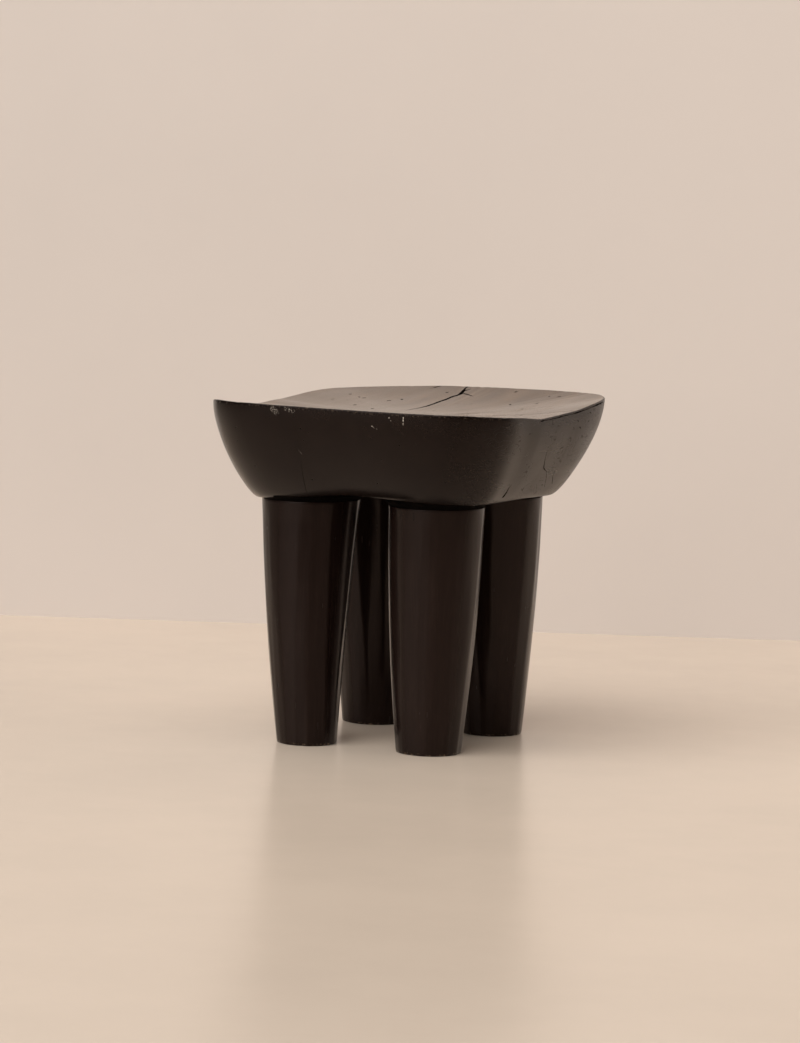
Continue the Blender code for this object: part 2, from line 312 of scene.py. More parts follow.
class Value:
    """A number socket of a material, on which arithmetic adds Math nodes."""

    def __init__(self, graph: "Graph", socket: bpy.types.NodeSocket) -> None:
        """Wrap a socket of a graph."""
        self.graph = graph
        self.socket = socket

    def _math(self, operation: str, first: "Number", second: "Number") -> "Value":
        """Add a Math node."""
        node = self.graph.node("ShaderNodeMath", {"operation": operation}, {0: first, 1: second})
        return Value(self.graph, node.outputs[0])

    def __add__(self, other: "Number") -> "Value":
        """Add."""
        return self._math("ADD", self, other)

    __radd__ = __add__

    def __sub__(self, other: "Number") -> "Value":
        """Take another value from this one."""
        return self._math("SUBTRACT", self, other)

    def __rsub__(self, other: "Number") -> "Value":
        """Take this value from a number."""
        return self._math("SUBTRACT", other, self)

    def __mul__(self, other: "Number") -> "Value":
        """Multiply."""
        return self._math("MULTIPLY", self, other)

    __rmul__ = __mul__

    def most(self, other: "Number") -> "Value":
        """Give the greater of two values."""
        return self._math("MAXIMUM", self, other)

    def ripple(self, reach: float) -> "Value":
        """Give a value that goes up to the reach and down to 0 by turns as this one grows."""
        return self._math("PINGPONG", self, reach)

    def rises(self, low: float, high: float) -> "Value":
        """Give a smooth step.

        Args:
            low: Where the step is still 0; it falls instead where this is the higher end.
            high: Where it has come to 1.

        Returns:
            The step, from 0 to 1.
        """
        node = self.graph.node(
            "ShaderNodeMapRange",
            {"interpolation_type": "SMOOTHSTEP"},
            {"Value": self, "From Min": low, "From Max": high},
        )
        return Value(self.graph, node.outputs[0])


Number = Union[Value, float]


@dataclass(frozen=True)
class Pattern:
    """A cloudy pattern, from 0 to 1 and mostly near the middle."""

    per_metre: float  # how many patches there are in a metre
    detail: float  # how many finer layers lie on the patches
    rough: float  # how strong the finer layers are


class Graph:
    """The node tree of a new material."""

    def __init__(self, name: str) -> None:
        """Make an empty material.

        Args:
            name: What the material is called.
        """
        self.material = bpy.data.materials.new(name)
        self.material.use_nodes = True
        self.tree = self.material.node_tree
        self.tree.nodes.clear()

    def node(self, kind: str, settings: dict, sockets: dict) -> bpy.types.Node:
        """Add a node.

        Args:
            kind: Blender's name for the node's type.
            settings: The node's own settings, which are set first.
            sockets: A value or a link for each input, by name or place.

        Returns:
            The node.
        """
        made = self.tree.nodes.new(kind)
        for setting, value in settings.items():
            setattr(made, setting, value)
        for key, value in sockets.items():
            if isinstance(value, Value):
                value = value.socket
            if isinstance(value, bpy.types.NodeSocket):
                self.tree.links.new(value, made.inputs[key])
            else:
                made.inputs[key].default_value = value
        return made

    def value(self, kind: str, settings: dict, sockets: dict, output: Union[int, str] = 0) -> Value:
        """Add a node and take one of its outputs as a value."""
        return Value(self, self.node(kind, settings, sockets).outputs[output])

    def vector(self, operation: str, first: object, second: object) -> bpy.types.NodeSocket:
        """Add a Vector Math node and take its vector."""
        return self.node("ShaderNodeVectorMath", {"operation": operation}, {0: first, 1: second}).outputs[0]

    def dot(self, first: object, second: object) -> Value:
        """Give the dot product of two vectors."""
        sockets = {0: first, 1: second}
        return self.value("ShaderNodeVectorMath", {"operation": "DOT_PRODUCT"}, sockets, "Value")

    def place(self) -> bpy.types.NodeSocket:
        """Take the place on the piece."""
        return self.node("ShaderNodeTexCoord", {}, {}).outputs["Object"]

    def kept(self, name: str) -> Value:
        """Read a number that is kept for each point of the piece, or 0 where it keeps none."""
        return self.value("ShaderNodeAttribute", {"attribute_name": name}, {}, "Fac")

    def noise(self, place: bpy.types.NodeSocket, pattern: Pattern) -> Value:
        """Add a cloudy pattern.

        Args:
            place: Where on the piece, stretched as needed.
            pattern: How fine and how rough it is.

        Returns:
            The pattern.
        """
        sockets = {
            "Vector": place,
            "Scale": pattern.per_metre,
            "Detail": pattern.detail,
            "Roughness": pattern.rough,
        }
        return self.value("ShaderNodeTexNoise", {}, sockets, "Fac")

    def blend(self, share: Number, first: object, second: object) -> bpy.types.NodeSocket:
        """Mix two colours.

        Args:
            share: How much of the second there is.
            first: A colour or a link to one.
            second: The other.

        Returns:
            The mixed colour.
        """
        ends = [(*end, 1.0) if isinstance(end, tuple) else end for end in (first, second)]
        mix = self.node("ShaderNodeMix", {"data_type": "RGBA"}, {0: share, 6: ends[0], 7: ends[1]})
        return mix.outputs[2]

    def finish(self, shader: bpy.types.Node) -> bpy.types.Material:
        """Show a shader as the material's surface."""
        self.node("ShaderNodeOutputMaterial", {}, {"Surface": shader.outputs[0]})
        return self.material


class Grain(Enum):
    """How far a pattern is squeezed in X, Y and Z so that it runs along the wood."""

    ALONG_SEAT = (1.0, 0.06, 1.0)
    UP_LEG = (1.0, 1.0, 0.06)


class Side(Enum):
    """The side of the seat that a mark is on, as the direction out of it."""

    FRONT = (0.0, -1.0, 0.0)
    RIGHT = (1.0, 0.0, 0.0)


@dataclass(frozen=True)
class Mark:
    """A scratch or scuff on one side of the seat, from one point to another."""

    side: Side
    start: Point
    end: Point
    width: float
    broken: float  # how much of it is worn away, from 0 to 1
    soft: float = 0.08  # how gently it breaks up
    side_starts: float = 0.10  # how far out from the middle of the seat it can begin to show
    side_is_full: float = 0.12

    def mask(self, graph: Graph, place: bpy.types.NodeSocket, crumble: Value) -> Value:
        """Show where the mark is.

        Args:
            graph: The material's nodes.
            place: The place on the piece.
            crumble: A fine pattern that breaks the mark up.

        Returns:
            1 on the mark and 0 off it.
        """
        flat = Vector([1.0 - abs(part) for part in self.side.value])
        start = Vector(self.start) * flat
        way = Vector(self.end) * flat - start
        offset = graph.vector("SUBTRACT", graph.vector("MULTIPLY", place, tuple(flat)), tuple(start))
        along = graph.dot(offset, tuple(way / way.length_squared))
        held = graph.value("ShaderNodeClamp", {}, {"Value": along})
        nearest = graph.node("ShaderNodeVectorMath", {"operation": "SCALE"}, {0: tuple(way), "Scale": held})
        gap = graph.vector("SUBTRACT", offset, nearest.outputs[0])
        distance = graph.value("ShaderNodeVectorMath", {"operation": "LENGTH"}, {0: gap}, "Value")
        core = distance.rises(self.width / 2, self.width / 4)
        on_side = graph.dot(place, self.side.value).rises(self.side_starts, self.side_is_full)
        return core * on_side * crumble.rises(self.broken - self.soft, self.broken + self.soft)


@dataclass(frozen=True)
class BlackenedWood:
    """Wood stained nearly black and waxed to a satin sheen."""

    name: str
    grain: Grain
    shift: Point = (0.0, 0.0, 0.0)  # moves the pattern, so that no two pieces are alike
    marks: tuple[Mark, ...] = ()
    stain: Colour = (0.0092, 0.0050, 0.0040)
    heart: Colour = (0.0185, 0.0108, 0.0086)
    bare: Colour = (0.34, 0.25, 0.17)
    scraped: Colour = (0.56, 0.51, 0.45)
    worn: Colour = (0.090, 0.050, 0.024)  # of the top, where use has rubbed the stain thin
    pore: Colour = (0.0012, 0.0008, 0.0006)
    roughness: float = 0.22
    polish: float = 0.10  # how much smoother the top is
    sheen: Colour = (0.36, 0.30, 0.28)  # tint of what it mirrors, strongest where it faces the eye
    figured: float = 0.0  # how dry its right side is, where curling figure shows
    chipped: float = 0.7  # how bare its edges are where they are chipped
    dry_starts: float = 0.11  # how far to the right of the middle it begins to be dry
    dry_is_full: float = 0.15
    cloud: Pattern = Pattern(14.0, 2.0, 0.5)
    streak: Pattern = Pattern(70.0, 4.0, 0.6)
    fibre: Pattern = Pattern(520.0, 3.0, 0.6)
    crumble: Pattern = Pattern(420.0, 3.0, 0.65)  # of chipped edges
    grit: Pattern = Pattern(850.0, 2.0, 0.6)  # of scratches and scuffs
    pores_per_metre: float = 130.0
    pore_squeeze: float = 0.16  # along the grain
    pore_patches: Pattern = Pattern(60.0, 2.0, 0.5)
    figure: Pattern = Pattern(55.0, 2.0, 0.5)
    figure_squeeze: float = 0.30  # along the grain
    figure_lines: float = 14.0  # from the lowest to the highest part of its pattern
    figure_patches: Pattern = Pattern(30.0, 2.0, 0.5)
    cloud_height: float = 0.0002
    streak_height: float = 0.00008
    fibre_height: float = 0.00002
    fleck_depth: float = 0.0001
    pore_depth: float = 0.00016
    figure_depth: float = 0.00015

    def material(self) -> bpy.types.Material:
        """Make the material.

        Returns:
            The material, with grain, pores, sheen and wear.
        """
        graph = Graph(self.name)
        place = graph.place()
        moved = graph.vector("ADD", place, self.shift)
        along = graph.vector("MULTIPLY", moved, self.grain.value)
        cloud = graph.noise(moved, self.cloud)
        streak = graph.noise(along, self.streak)
        fibre = graph.noise(along, self.fibre)
        top = graph.kept(POLISH_ATTRIBUTE)
        dash = self._dashes(graph, moved)
        rightward = graph.dot(place, Side.RIGHT.value)
        dry = rightward.rises(self.dry_starts, self.dry_is_full) * (1 - top) * self.figured
        figure = self._figure_lines(graph, moved) * dry
        edge = graph.kept(EDGE_ATTRIBUTE)
        crumble = graph.noise(moved, self.crumble)
        fleck = edge.rises(0.45, 0.95) * crumble.rises(0.56, 0.62)
        scrape = self._scrapes(graph, place, graph.noise(moved, self.grit))

        brown = (streak.rises(0.38, 0.72) * 0.6 + fibre.rises(0.45, 0.75) * 0.4) * cloud.rises(0.2, 0.8)
        colour = graph.blend(brown, self.stain, self.heart)
        colour = graph.blend(top * (0.35 + streak.rises(0.30, 0.70) * 0.65), colour, self.worn)
        colour = graph.blend((dash * 0.8).most(figure), colour, self.pore)
        colour = graph.blend(fleck * self.chipped, colour, self.bare)
        if scrape:
            colour = graph.blend(scrape * (1 - top), colour, self.scraped)

        roughness = self.roughness + (cloud - 0.5) * 0.10 + (streak - 0.5) * 0.14 + (fibre - 0.5) * 0.10
        roughness = roughness + dash * 0.25 + figure * 0.30 + dry * 0.10 + fleck * 0.25 - top * self.polish
        height = fibre * self.fibre_height + streak * self.streak_height + cloud * self.cloud_height
        height = height - fleck * self.fleck_depth - dash * self.pore_depth - figure * self.figure_depth
        bump = graph.node("ShaderNodeBump", {}, {"Height": height, "Strength": 1.0, "Distance": 1.0})
        shader = graph.node(
            "ShaderNodeBsdfPrincipled",
            {},
            {
                "Base Color": colour,
                "Roughness": roughness,
                "Normal": bump.outputs[0],
                "Specular Tint": (*self.sheen, 1.0),
            },
        )
        return graph.finish(shader)

    def _squeezed(
        self, graph: Graph, moved: bpy.types.NodeSocket, squeeze: float
    ) -> bpy.types.NodeSocket:
        """Squeeze the place on the piece along its grain."""
        stretch = tuple(1.0 if share == 1.0 else squeeze for share in self.grain.value)
        return graph.vector("MULTIPLY", moved, stretch)

    def _dashes(self, graph: Graph, moved: bpy.types.NodeSocket) -> Value:
        """Scatter short open pores along the grain.

        Args:
            graph: The material's nodes.
            moved: The place on the piece.

        Returns:
            1 in a pore and 0 off it.
        """
        squeezed = self._squeezed(graph, moved, self.pore_squeeze)
        patches = graph.noise(moved, self.pore_patches)
        sockets = {"Vector": squeezed, "Scale": self.pores_per_metre, "Randomness": 1.0}
        cells = graph.node("ShaderNodeTexVoronoi", {}, sockets)
        distance = Value(graph, cells.outputs["Distance"])
        chosen = graph.value("ShaderNodeSeparateColor", {}, {0: cells.outputs["Color"]})
        return distance.rises(0.16, 0.06) * chosen.rises(0.55, 0.65) * patches.rises(0.45, 0.6)

    def _figure_lines(self, graph: Graph, moved: bpy.types.NodeSocket) -> Value:
        """Draw the curling dark lines of the wood's figure, broken into short lengths.

        Args:
            graph: The material's nodes.
            moved: The place on the piece.

        Returns:
            1 on a line and 0 off it.
        """
        swirl = graph.noise(self._squeezed(graph, moved, self.figure_squeeze), self.figure)
        line = (swirl * self.figure_lines).ripple(0.5).rises(0.09, 0.02)
        return line * graph.noise(moved, self.figure_patches).rises(0.50, 0.56)

    def _scrapes(self, graph: Graph, place: bpy.types.NodeSocket, crumble: Value) -> Optional[Value]:
        """Lay the piece's scratches and scuffs over each other.

        Args:
            graph: The material's nodes.
            place: The place on the piece.
            crumble: A fine pattern that breaks the marks up.

        Returns:
            1 on a mark and 0 off them all, or nothing where the piece has no marks.
        """
        scrape = None
        for mark in self.marks:
            mask = mark.mask(graph, place, crumble)
            scrape = scrape.most(mask) if scrape else mask
        return scrape


@dataclass(frozen=True)
class BareWood:
    """Split wood with no finish."""

    name: str = "bare wood"
    pale: Colour = (0.50, 0.34, 0.20)
    dark: Colour = (0.36, 0.22, 0.12)
    roughness: float = 0.68
    streak: Pattern = Pattern(240.0, 4.0, 0.6)
    fibre: Pattern = Pattern(1400.0, 2.0, 0.5)
    fibre_height: float = 0.00008

    def material(self) -> bpy.types.Material:
        """Make the material.

        Returns:
            The material, with grain that runs up the wedge.
        """
        graph = Graph(self.name)
        along = graph.vector("MULTIPLY", graph.place(), Grain.UP_LEG.value)
        streak = graph.noise(along, self.streak)
        fibre = graph.noise(along, self.fibre)
        colour = graph.blend(streak.rises(0.35, 0.7), self.pale, self.dark)
        roughness = self.roughness + (fibre - 0.5) * 0.2
        height = fibre * self.fibre_height
        bump = graph.node("ShaderNodeBump", {}, {"Height": height, "Strength": 1.0, "Distance": 1.0})
        sockets = {"Base Color": colour, "Roughness": roughness, "Normal": bump.outputs[0]}
        return graph.finish(graph.node("ShaderNodeBsdfPrincipled", {}, sockets))


def two_finishes(obj: bpy.types.Object) -> bpy.types.Mesh:
    """Make room for the finish of the surface and the dark finish of the cracks in it, which also paints
    shade on the bosses.

    Args:
        obj: The shape.

    Returns:
        Its mesh.
    """
    for _ in range(2):
        obj.data.materials.append(None)
    return obj.data


def darken(obj: bpy.types.Object) -> None:
    """Give a whole shape the dark finish of the cracks, which on the bosses under the seat is painted
    shade.
    """
    for face in two_finishes(obj).polygons:
        face.material_index = 1


@dataclass(frozen=True)
class DryingCrack:
    """A split that opened along the wood as it dried, as a wedge-shaped cut."""

    name: str
    path: tuple[Point, ...]  # along the surface
    widths: tuple[float, ...]  # at each point of the path
    depth: float
    outward: Point  # out of the surface
    jagged: float = 0.0007  # how far its sides wander
    cuts: int = 60
    tear: float = 0.004  # spacing of the wander
    tear_apart: float = 0.05  # keeps the two sides from wandering alike
    splinter: float = 0.0013  # spacing of the finer wander on it
    splinter_apart: float = 0.09
    steady_width: float = 0.001  # below which it wanders less
    least_half_width: float = 0.0001
    heading: float = 0.02  # share of its length, either way, that gives its direction
    lift: float = 0.004  # how far the cutter stands out of the surface
    shallow_share: float = 0.25  # of its depth, where it narrows to nothing
    bottom_share: float = 0.12  # of its width, at its bottom

    def at(self, share: float) -> tuple[Vector, float]:
        """Follow the crack.

        Args:
            share: How far along it, from 0 to 1.

        Returns:
            Its place and its width there.
        """
        position = share * (len(self.path) - 1)
        index = min(int(position), len(self.path) - 2)
        rest = position - index
        place = Vector(self.path[index]).lerp(Vector(self.path[index + 1]), rest)
        return place, between(self.widths[index], self.widths[index + 1], rest)

    def cutter(self) -> bpy.types.Object:
        """Model the wedge that cuts the crack: a bar cut into short lengths and drawn along the path.

        Returns:
            The closed cutter.
        """
        deselect_all()
        bpy.ops.mesh.primitive_cube_add(size=2.0)
        bar = bpy.context.object
        bar.name = self.name
        bpy.ops.object.mode_set(mode="EDIT")
        shape = bmesh.from_edit_mesh(bar.data)
        for edge in shape.edges:
            first, second = edge.verts
            edge.select_set(abs(first.co.x - second.co.x) > 1.0)
        bmesh.update_edit_mesh(bar.data)
        bpy.ops.mesh.subdivide(number_cuts=self.cuts)
        bpy.ops.object.mode_set(mode="OBJECT")
        out = Vector(self.outward).normalized()
        for vert in bar.data.vertices:
            self._draw(vert, out)
        activate(bar)
        bpy.ops.object.mode_set(mode="EDIT")
        bpy.ops.mesh.select_all(action="SELECT")
        bpy.ops.mesh.normals_make_consistent(inside=False)
        bpy.ops.object.mode_set(mode="OBJECT")
        darken(bar)
        return bar

    def _draw(self, vert: bpy.types.MeshVertex, out: Vector) -> None:
        """Move one point of the straight bar to its place along the path.

        Args:
            vert: The point, on a bar from -1 to 1 in each direction.
            out: The direction out of the surface.
        """
        share = (vert.co.x + 1) / 2
        side = math.copysign(1.0, vert.co.y)
        place, width = self.at(share)
        ahead, _ = self.at(min(1.0, share + self.heading))
        behind, _ = self.at(max(0.0, share - self.heading))
        across = (ahead - behind).normalized().cross(out)
        wander = Unevenness(self.tear, self.jagged).at(place + across * side * self.tear_apart)
        wander += Unevenness(self.splinter, self.jagged / 2).at(place + across * side * self.splinter_apart)
        half = max(self.least_half_width, width / 2 + wander * min(1.0, width / self.steady_width))
        if vert.co.z > 0:
            vert.co = place + across * side * half * (1 + self.lift / self.depth) + out * self.lift
        else:
            bottom = self.depth * between(self.shallow_share, 1.0, min(1.0, width / max(self.widths)))
            vert.co = place + across * side * half * self.bottom_share - out * bottom


@dataclass(frozen=True)
class SplitWoodAndPaintedShade:
    """The dark torn walls of a crack, which took no wax; the same dark finish is painted shade on the
    bosses under the seat.
    """

    name: str = "split wood and painted shade"
    dark: Colour = (0.0010, 0.0006, 0.0005)
    brown: Colour = (0.0040, 0.0024, 0.0016)
    roughness: float = 0.95
    specular: float = 0.05
    mottle: Pattern = Pattern(180.0, 3.0, 0.6)

    def material(self) -> bpy.types.Material:
        """Make the material.

        Returns:
            The material, a little browner in places.
        """
        graph = Graph(self.name)
        mottle = graph.noise(graph.place(), self.mottle)
        colour = graph.blend(mottle.rises(0.4, 0.7), self.dark, self.brown)
        sockets = {"Base Color": colour, "Roughness": self.roughness, "Specular IOR Level": self.specular}
        return graph.finish(graph.node("ShaderNodeBsdfPrincipled", {}, sockets))


@dataclass(frozen=True)
class Hollow:
    """A stretch of the rim that the carver cut lower."""

    degrees: float  # direction of its deepest point, anticlockwise from +X
    reach_degrees: float  # to either side
    depth: float
    sharp: bool = False  # whether its two sides meet at an angle

    def at(self, angle: float) -> float:
        """Give how much lower the rim is in one direction."""
        near = fade(degrees_apart(angle, self.degrees), self.reach_degrees)
        return self.depth * (near if self.sharp else (1 - math.cos(math.pi * near)) / 2)


@dataclass
class SeatBlock:
    """The seat: one thick block, dished on top along its grain, with flaring sides."""

    joinery: Joinery
    legs: Sequence["Leg"]
    width: float = 0.3636
    length: float = 0.3910
    depth: float = 0.0971  # from the lowest part of the rim to the faces that meet the legs
    side_overhang: float = 0.0390  # of the rim past the underside
    end_overhang: float = 0.0600
    underside_shift: tuple[float, float] = (-0.0020, -0.0035)  # off the middle of the rim
    rim_squareness: float = 4.3
    underside_squareness: float = 4.1
    arris: float = 0.0045  # how far the front right corner stands out of the even outline
    arris_degrees: float = 326.5
    arris_reach_degrees: float = 7.0
    dish_depth: float = 0.0067
    rim_rounding: float = 0.0015
    rim_level: float = 0.0120  # how far the two ends of the rim stand above its lowest part
    rim_slope: float = 0.0008  # how much higher than that the rear end is
    rim_twist: float = 0.0010  # the same for the rear right and front left corners
    hollows: tuple[Hollow, ...] = (
        Hollow(357, 58, 0.0100),
        Hollow(345.5, 12, 0.0019, sharp=True),
        Hollow(138, 40, 0.0045),
        Hollow(176, 38, 0.0120),
        Hollow(202, 30, 0.0088),
    )
    # Rise of the lower edge above those faces, from the right side round by the rear
    underside_rise: tuple[float, ...] = (0.0054, 0.0028, 0.0050, 0.0028, 0.0010, 0.0003, 0.0105, 0.0056)
    underside_arch: float = 0.0080  # the same in the middle of the underside
    rim_handle: float = 0.36  # share of the flank's height that drops straight from the rim
    underside_handle: float = 0.20  # share of its inset that runs level into the underside
    rim_wave: Unevenness = Unevenness(0.035, 0.0004)
    rim_chips: Chips = Chips(0.006, 0.35, 0.0012)
    rim_radius: float = 0.19  # about, round which the wave and the chips are spread
    strokes: Unevenness = Unevenness(0.03, 0.0003)  # of the tool that cut the dish
    stroke_squeeze: float = 0.4  # along the grain
    flank_lumps: Unevenness = Unevenness(0.040, 0.0006)
    underside_lumps: Unevenness = Unevenness(0.018, 0.0004)
    stroke_onset: float = 8.0  # how fast the strokes grow, away from the rim
    lump_onset: float = 6.0  # the same for the lumps, away from an edge
    rim_wear: float = 0.006  # how far from the rim its wear reaches
    polish_depth: float = 0.001  # below which a crack isn't polished
    top_jagged: float = 0.0009  # how far the cracks in the top wander
    side_crack_depth: float = 0.003
    right_outward: Point = (0.9, 0.0, -0.43)  # out of the right flank
    segments: int = 360
    dish_rings: int = 44
    dish_crowding: float = 1.5  # draws the rings of the dish together towards the rim
    rim_rings: int = 4
    flank_rings: int = 46
    underside_rings: int = 12
    boss_segments: int = 96
    mortise_segments: int = 48

    @property
    def low_rim_z(self) -> float:
        """Height of the lowest part of the rim."""
        return self.joinery.boss_z + self.depth

    @property
    def dish_z(self) -> float:
        """Height of the middle of the dish."""
        return self.low_rim_z - self.dish_depth

    def outline(self, inset: float, squareness: float, angle: float) -> float:
        """Give the distance from the middle to the block's outline.

        Args:
            inset: Share of the overhang that the outline is set in from the rim.
            squareness: Exponent of the outline; higher is squarer.
            angle: Direction from the middle.

        Returns:
            The distance.
        """
        half_width = self.width / 2 - inset * self.side_overhang
        half_length = self.length / 2 - inset * self.end_overhang
        across = abs(math.cos(angle) / half_width) ** squareness
        along = abs(math.sin(angle) / half_length) ** squareness
        away = degrees_apart(angle, self.arris_degrees) / self.arris_reach_degrees
        arris = self.arris * math.exp(-(away**2))
        return (across + along) ** (-1 / squareness) + arris

    def around(self, inset: float, reach: float, angle: float, height: float) -> Vector:
        """Give a point of the block, which moves off the middle of the rim on its way to the underside.

        Args:
            inset: Share of the overhang that the point is set in from the rim.
            reach: Distance from the middle of its outline.
            angle: Direction from there.
            height: Height of the point.

        Returns:
            The point.
        """
        x, y = (inset * shift for shift in self.underside_shift)
        return Vector((x + reach * math.cos(angle), y + reach * math.sin(angle), height))

    def rim_rise(self, angle: float) -> float:
        """Give the height of the rim above its lowest part, in one direction."""
        height = self.rim_level + self.rim_slope * math.sin(angle) + self.rim_twist * math.sin(2 * angle)
        return height - sum(hollow.at(angle) for hollow in self.hollows)

    def lower_z(self, angle: float) -> float:
        """Give the height of the lower edge, smooth through the heights that are set around it.

        Args:
            angle: Direction from the middle.

        Returns:
            The height.
        """
        rises = self.underside_rise
        count = len(rises)
        position = (angle / math.tau % 1.0) * count
        index = int(position)
        share = position - index
        before, start, end, after = (rises[(index + step) % count] for step in (-1, 0, 1, 2))
        rise = (
            start * (2 * share**3 - 3 * share**2 + 1)
            + (end - before) / 2 * (share**3 - 2 * share**2 + share)
            + end * (3 * share**2 - 2 * share**3)
            + (after - start) / 2 * (share**3 - share**2)
        )
        return self.joinery.boss_z + rise

    def rim_z(self, angle: float) -> float:
        """Give the height of the rim, with its small chips.

        Args:
            angle: Direction from the middle.

        Returns:
            The height.
        """
        place = Vector((math.cos(angle), math.sin(angle), 0.0)) * self.rim_radius
        level = self.low_rim_z + self.rim_rise(angle)
        return level + self.rim_wave.at(place) - self.rim_chips.at(place)

    def dish_ring(self, share: float) -> list[Vector]:
        """Lay out a ring of the dished top.

        Args:
            share: How far from its middle to the rim.

        Returns:
            The points of the ring.
        """
        points = []
        for angle in ring_angles(self.segments):
            reach = share * (self.outline(0.0, self.rim_squareness, angle) - self.rim_rounding)
            height = between(self.dish_z, self.rim_z(angle), share**2)
            point = Vector((reach * math.cos(angle), reach * math.sin(angle), height))
            stroke = Vector((point.x, point.y * self.stroke_squeeze, 0.0))
            point.z += self.strokes.at(stroke) * min(1.0, self.stroke_onset * (1 - share))
            points.append(point)
        return points

    def rim_ring(self, share: float) -> list[Vector]:
        """Lay out a ring of the rim's rounding.

        Args:
            share: How far from the dish to the flank.

        Returns:
            The points of the ring.
        """
        turn = math.radians(90 * (1 - share))
        points = []
        for angle in ring_angles(self.segments):
            reach = self.outline(0.0, self.rim_squareness, angle) - self.rim_rounding * (1 - math.cos(turn))
            height = self.rim_z(angle) - self.rim_rounding * (1 - math.sin(turn))
            points.append(Vector((reach * math.cos(angle), reach * math.sin(angle), height)))
        return points

    def flank_point(self, share: float, angle: float) -> Vector:
        """Give a point of the flank, which flares along one curve.

        Args:
            share: How far from the rim to the underside.
            angle: Direction from the middle.

        Returns:
            The point, before the tilt.
        """
        rest = 1 - share
        inset = 3 * rest * share**2 * (1 - self.underside_handle) + share**3
        drop = 3 * rest**2 * share * self.rim_handle + 3 * rest * share**2 + share**3
        squareness = between(self.rim_squareness, self.underside_squareness, inset)
        reach = self.outline(inset, squareness, angle)
        height = between(self.rim_z(angle) - self.rim_rounding, self.lower_z(angle), drop)
        point = self.around(inset, reach, angle, height)
        onset = min(1.0, self.lump_onset * share, self.lump_onset * rest)
        reach += self.flank_lumps.at(point) * onset
        return self.around(inset, reach, angle, height)

    def flank_ring(self, share: float) -> list[Vector]:
        """Give the points of the flank at a share of the way from the rim to the underside."""
        return [self.flank_point(share, angle) for angle in ring_angles(self.segments)]

    def underside_ring(self, share: float) -> list[Vector]:
        """Lay out a ring of the underside.

        Args:
            share: How far from its edge to its middle.

        Returns:
            The points of the ring.
        """
        middle = self.joinery.boss_z + self.underside_arch
        points = []
        for angle in ring_angles(self.segments):
            reach = self.outline(1.0, self.underside_squareness, angle) * (1 - share)
            point = self.around(1.0 - share, reach, angle, between(self.lower_z(angle), middle, share))
            point.z += self.underside_lumps.at(point) * min(1.0, self.lump_onset * share)
            points.append(point)
        return points

    def carve(self) -> bpy.types.Object:
        """Draw the block out ring by ring, from the middle of the dish to the middle of the underside.

        Returns:
            The block before its joints and cracks.
        """
        steps = range(1, self.dish_rings + 1)
        spread = [1 - (1 - step / self.dish_rings) ** self.dish_crowding for step in steps]
        loft = Loft("seat_block", self.dish_z, self.dish_ring(spread[0]))
        for share in spread[1:]:
            loft.extrude(self.dish_ring(share))
        for ring in range(1, self.rim_rings):
            loft.extrude(self.rim_ring(ring / self.rim_rings))
        for ring in range(self.flank_rings + 1):
            loft.extrude(self.flank_ring(ring / self.flank_rings))
        for ring in range(1, self.underside_rings):
            loft.extrude(self.underside_ring(ring / self.underside_rings))
        block = loft.close(self.joinery.boss_z + self.underside_arch)
        self.joinery.tilt(block)
        return block

    def boss(self, leg: "Leg") -> bpy.types.Object:
        """Turn the low pad under the seat that a leg's shoulder meets, undercut towards the leg and dark
        with painted shade.

        Args:
            leg: The leg.

        Returns:
            The closed pad, in its place.
        """
        joinery = self.joinery
        edge = joinery.edge_rounding
        face = joinery.boss_z
        top = face + max(self.underside_arch, *self.underside_rise) + joinery.margin
        wide = leg.top_radius + joinery.boss_flare
        profile = [(leg.top_radius / 2, face)]
        profile += rounded(leg.top_radius - edge, face + edge, edge, -90, 0)
        profile.append((leg.top_radius, face + joinery.boss_neck))
        profile.append((wide, face + joinery.boss_neck + joinery.boss_flare_height))
        profile += [(wide, top), (wide / 2, top)]
        pad = self._set_under(turned("boss", profile, self.boss_segments), leg)
        # the dark crack finish on this pad is painted shade of the undercut
        darken(pad)
        return pad

    def mortise(self, leg: "Leg") -> bpy.types.Object:
        """Turn the blind hole for a tenon, flared towards its end as the wedge needs.

        Args:
            leg: The tenon's leg.

        Returns:
            The closed cutter, in its place.
        """
        joinery = self.joinery
        mouth = joinery.tenon_radius + joinery.fit
        slope = joinery.tenon_spread / (joinery.tenon_length - joinery.tenon_chamfer)
        end = mouth + slope * (joinery.mortise_z - joinery.shoulder_z)
        below = joinery.boss_z - joinery.margin
        profile = [(mouth / 2, below), (mouth, below), (mouth, joinery.shoulder_z)]
        profile += [(end, joinery.mortise_z), (end / 2, joinery.mortise_z)]
        return self._set_under(turned("mortise", profile, self.mortise_segments), leg)

    def _set_under(self, obj: bpy.types.Object, leg: "Leg") -> bpy.types.Object:
        """Move a turned shape to a leg's place, and tilt it with the seat.

        Args:
            obj: The shape.
            leg: The leg.

        Returns:
            The same shape.
        """
        obj.data.transform(Matrix.Translation((*leg.place, 0.0)))
        self.joinery.tilt(obj)
        return obj

    def on_top(self, x: float, y: float) -> Point:
        """Give the point of the dished top over a place.

        Args:
            x: Across the seat.
            y: Along it.

        Returns:
            The point, as the seat stands.
        """
        angle = math.atan2(y, x)
        rim = self.outline(0.0, self.rim_squareness, angle) - self.rim_rounding
        share = min(1.0, math.hypot(x, y) / rim)
        height = between(self.dish_z, self.low_rim_z + self.rim_rise(angle), share**2)
        return x, y, height + self.joinery.seat_tilt * x

    def on_flank(self, degrees: float, share: float) -> Point:
        """Give the point of the flank in one direction, as the seat stands."""
        point = self.flank_point(share, math.radians(degrees))
        return point.x, point.y, point.z + self.joinery.seat_tilt * point.x

